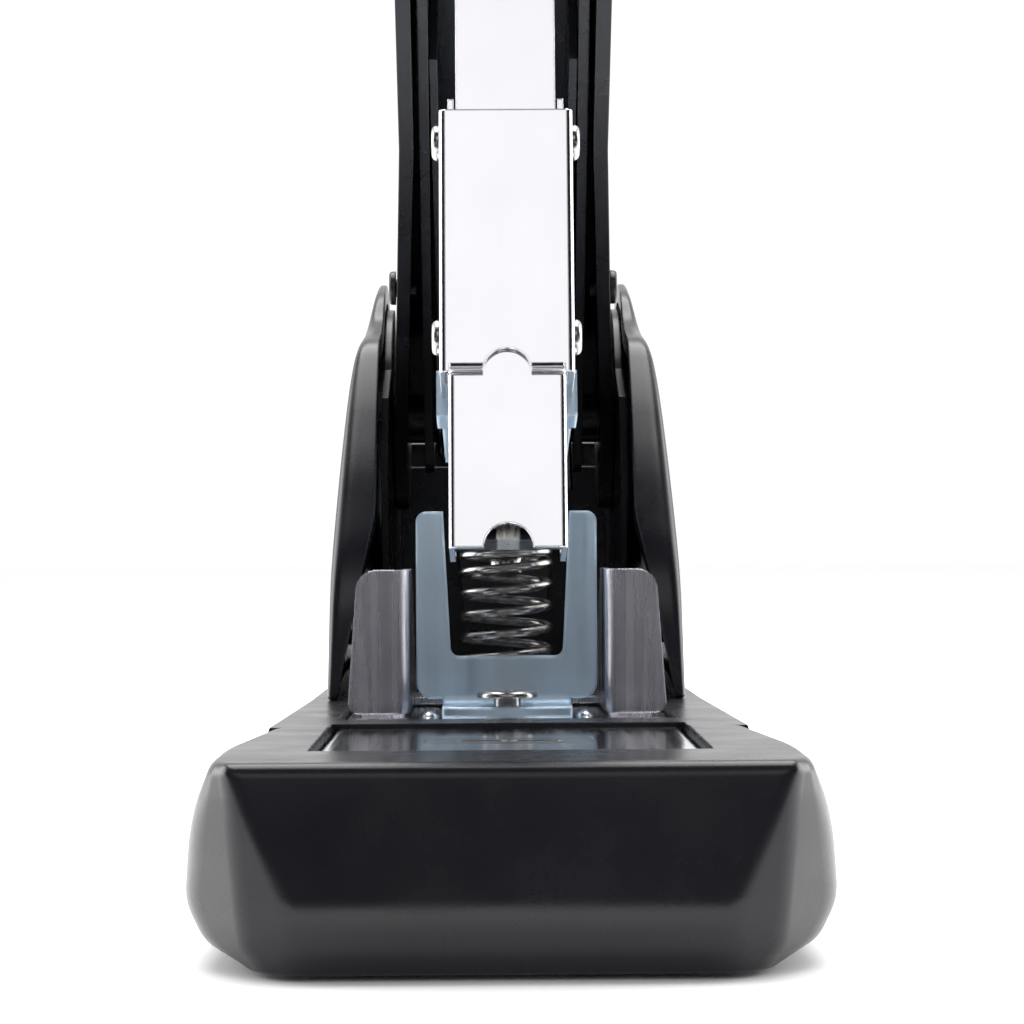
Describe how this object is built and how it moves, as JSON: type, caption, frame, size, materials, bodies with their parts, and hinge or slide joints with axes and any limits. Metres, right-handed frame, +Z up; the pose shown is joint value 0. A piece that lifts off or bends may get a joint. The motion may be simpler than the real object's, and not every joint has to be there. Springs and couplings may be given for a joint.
{
  "type": "long reach stapler",
  "caption": "Heavy-duty stapler with a faceted nose, chromed magazine tower, U-shaped spring guard, sliding paper stop and a raised lever handle.",
  "frame": {"origin": "on the table, straight below the place where the staple is closed", "axes": "+X to the right as seen from the front, +Y to the rear, +Z up"},
  "size_m": [0.0706, 0.2767, 0.198],
  "materials": {
    "black_plastic": "satin moulded",
    "black_handle": "satin moulded",
    "black_steel": "black satin coat",
    "chrome": "bright plated sheet",
    "chrome_stop": "plated, finely brushed",
    "chrome_base": "plated, lightly scratched",
    "zinc": "blue zinc plated",
    "spring_steel": "bright spring wire",
    "steel": "bright steel",
    "rubber": "matte",
    "grip_rubber": "matte, ribbed"
  },
  "bodies": {
    "base": {"front_cover": "black_plastic", "base_cover": "black_plastic", "bottom_cover": "black_plastic", "anti_slip_pads": "rubber", "bottom_screws": "steel", "base_plate": "chrome_base", "anvil": "steel", "spring_bracket": "zinc", "bracket_rivet": "steel", "spring_seat": "zinc", "return_spring": "spring_steel", "pivot_bracket": "black_steel", "pivot_pin": "black_steel", "pivot_spacers": "black_steel", "pivot_caps": "black_plastic", "side_shell_left": "black_plastic", "side_shell_right": "black_plastic", "shell_screws": "black_steel", "rear_cover": "black_plastic"},
    "stop": {"paper_stop": "chrome_stop"},
    "magazine": {"front_plate": "chrome", "tower_sheath": "chrome", "tower_rivets": "steel", "magazine_channel": "chrome", "magazine_yoke": "zinc", "staple_rail": "steel", "staple_strip": "steel", "leg_guide": "zinc", "spring_guide": "steel", "pusher_rod": "steel", "pusher_spring": "spring_steel", "magazine_end_cap": "black_plastic"},
    "pusher": {"pusher": "black_plastic"},
    "driver": {"driver_blade": "chrome", "driver_carrier": "chrome", "driver_pin": "steel", "driver_screws": "steel"},
    "handle": {"handle_lever": "black_steel", "lever_liner": "black_steel", "handle_cover": "black_handle", "handle_grip": "grip_rubber", "cover_screws": "black_steel", "handle_spring": "spring_steel"}
  },
  "joints": [
    {"name": "magazine_hinge", "type": "hinge", "parent": "base", "child": "magazine", "pos_m": [0, 0.135, 0.066], "axis": [1, 0, 0], "range_deg": [0, 9.2], "stiffness_Nm_per_rad": 0.9, "springref_deg": -25.78, "deforming": ["return_spring"]},
    {"name": "handle_hinge", "type": "hinge", "parent": "magazine", "child": "handle", "pos_m": [0, 0.135, 0.066], "axis": [1, 0, 0], "range_deg": [0, 12], "stiffness_Nm_per_rad": 1, "springref_deg": -20.05, "deforming": ["handle_spring"]},
    {"name": "driver_slide", "type": "slide", "parent": "magazine", "child": "driver", "axis": [0, -0.1599, -0.9871], "range_m": [0, 0.0303]},
    {"name": "pusher_slide", "type": "slide", "parent": "magazine", "child": "pusher", "axis": [0, 0.9871, -0.1599], "range_m": [0, 0.045], "stiffness_N_per_m": 15, "springref_m": -0.03, "deforming": ["pusher_spring"]},
    {"name": "stop_slide", "type": "slide", "parent": "base", "child": "stop", "axis": [0, 1, 0], "range_m": [0, 0.025]}
  ],
  "couplings": [
    {"joint": "driver_slide", "follows": "handle_hinge", "m_per_rad": 0.14453}
  ]
}
